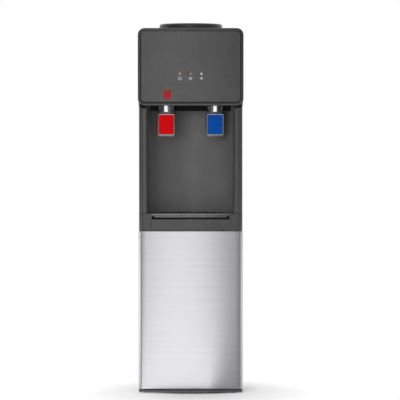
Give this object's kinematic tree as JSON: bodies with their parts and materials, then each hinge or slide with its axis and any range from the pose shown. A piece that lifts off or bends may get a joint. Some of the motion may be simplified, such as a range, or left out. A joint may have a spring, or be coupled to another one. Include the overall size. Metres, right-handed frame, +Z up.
{
  "type": "water dispenser",
  "caption": "Floor-standing hot and cold water dispenser with a bottle seat on top, press taps in an arched alcove, a drip tray and a storage cabinet behind a steel door.",
  "frame": {"origin": "on the floor, under the middle of the bounding box", "axes": "+Z up, the front with the taps and the door faces -Y, +X to the viewer's right"},
  "size_m": [0.28, 0.31, 0.984],
  "materials": {
    "base_plastic": "matte",
    "foot_rubber": "matte",
    "panel_paint": "satin",
    "rear_steel": "satin",
    "screw_steel": "satin",
    "casing_plastic": "satin",
    "face_plastic": "satin",
    "black_plastic": "matte",
    "liner_plastic": "matte",
    "board_green": "satin",
    "amber_lens": "gloss",
    "red_lens": "gloss",
    "pale_lens": "gloss",
    "marker_red": "satin",
    "switch_red": "gloss",
    "switch_blue": "gloss",
    "tap_black": "gloss",
    "nozzle_white": "gloss",
    "pin_steel": "satin",
    "trim_silver": "satin",
    "insert_red": "gloss",
    "insert_blue": "gloss",
    "stem_white": "satin",
    "silicone": "satin",
    "door_steel": "satin",
    "ferrite": "matte",
    "tank_steel": "satin",
    "evaporator_metal": "satin",
    "foam": "matte",
    "compressor_paint": "satin"
  },
  "bodies": {
    "cabinet": {"alcove_panel": "casing_plastic", "base_tray": "base_plastic", "cabinet_liner": "liner_plastic", "catch_magnet": "ferrite", "cold_hose": "silicone", "cold_spring": "pin_steel", "cold_tank": "tank_steel", "cold_tap_body": "tap_black", "compressor": "compressor_paint", "compressor_mounts": "foot_rubber", "condenser_clips": "black_plastic", "condenser_tube": "compressor_paint", "condenser_wires": "compressor_paint", "control_board": "board_green", "cool_lens": "pale_lens", "cord_gland": "foot_rubber", "evaporator": "evaporator_metal", "feet": "foot_rubber", "head_bezel": "casing_plastic", "head_front_panel": "face_plastic", "heat_lens": "red_lens", "hinge_pins": "pin_steel", "hot_hose": "silicone", "hot_marker": "marker_red", "hot_spring": "pin_steel", "hot_tank": "tank_steel", "hot_tank_jacket": "foam", "hot_tap_body": "tap_black", "left_side_panel": "panel_paint", "panel_screws": "screw_steel", "power_lens": "amber_lens", "rear_panel": "rear_steel", "right_side_panel": "panel_paint", "switch_plate": "black_plastic", "tank_foam": "foam", "tank_shelf": "rear_steel", "tap_carrier": "black_plastic", "tap_nozzles": "nozzle_white", "tap_nuts": "black_plastic", "tap_pins": "pin_steel", "top_cover": "casing_plastic", "tray_fascia": "casing_plastic"},
    "door": {"door_skin": "door_steel", "door_frame": "black_plastic", "strike_plate": "pin_steel"},
    "tray": {"drip_tray": "casing_plastic"},
    "grille": {"drip_grille": "casing_plastic"},
    "hot_lever": {"hot_paddle": "tap_black", "hot_trim": "trim_silver", "hot_insert": "insert_red"},
    "cold_lever": {"cold_paddle": "tap_black", "cold_trim": "trim_silver", "cold_insert": "insert_blue"},
    "hot_stem": {"hot_valve_stem": "stem_white"},
    "cold_stem": {"cold_valve_stem": "stem_white"},
    "bottle_seat": {"bottle_collar": "casing_plastic", "bottle_probe": "stem_white"},
    "hot_rocker": {"hot_switch": "switch_red"},
    "cold_rocker": {"cold_switch": "switch_blue"},
    "drain": {"drain_cap": "black_plastic"}
  },
  "joints": [
    {"name": "door_hinge", "type": "hinge", "parent": "cabinet", "child": "door", "pos_m": [0.1325, -0.123, 0.2205], "axis": [0, 0, 1], "range_deg": [0, 100]},
    {"name": "tray_slide", "type": "slide", "parent": "cabinet", "child": "tray", "axis": [0, -1, 0], "range_m": [0, 0.11]},
    {"name": "grille_lift", "type": "slide", "parent": "tray", "child": "grille", "axis": [0, 0, 1], "range_m": [0, 0.04]},
    {"name": "hot_press", "type": "hinge", "parent": "cabinet", "child": "hot_lever", "pos_m": [-0.065, -0.117, 0.751], "axis": [1, 0, 0], "range_deg": [0, 12], "stiffness_Nm_per_rad": 0.6, "springref_deg": -11.46},
    {"name": "cold_press", "type": "hinge", "parent": "cabinet", "child": "cold_lever", "pos_m": [0.065, -0.117, 0.751], "axis": [1, 0, 0], "range_deg": [0, 12], "stiffness_Nm_per_rad": 0.6, "springref_deg": -11.46},
    {"name": "hot_valve", "type": "slide", "parent": "cabinet", "child": "hot_stem", "axis": [0, 0, 1], "range_m": [0, 0.0023], "deforming": ["hot_spring"]},
    {"name": "cold_valve", "type": "slide", "parent": "cabinet", "child": "cold_stem", "axis": [0, 0, 1], "range_m": [0, 0.0023], "deforming": ["cold_spring"]},
    {"name": "collar_lift", "type": "slide", "parent": "cabinet", "child": "bottle_seat", "axis": [0, 0, 1], "range_m": [0, 0.11]},
    {"name": "hot_switch_tilt", "type": "hinge", "parent": "cabinet", "child": "hot_rocker", "pos_m": [0.084, 0.126, 0.646], "axis": [1, 0, 0], "range_deg": [-8, 8]},
    {"name": "cold_switch_tilt", "type": "hinge", "parent": "cabinet", "child": "cold_rocker", "pos_m": [0.056, 0.126, 0.646], "axis": [1, 0, 0], "range_deg": [-8, 8]},
    {"name": "drain_pull", "type": "slide", "parent": "cabinet", "child": "drain", "axis": [0, 1, 0], "range_m": [0, 0.02]}
  ],
  "couplings": [
    {"joint": "hot_valve", "follows": "hot_press", "m_per_rad": 0.0105},
    {"joint": "cold_valve", "follows": "cold_press", "m_per_rad": 0.0105}
  ]
}
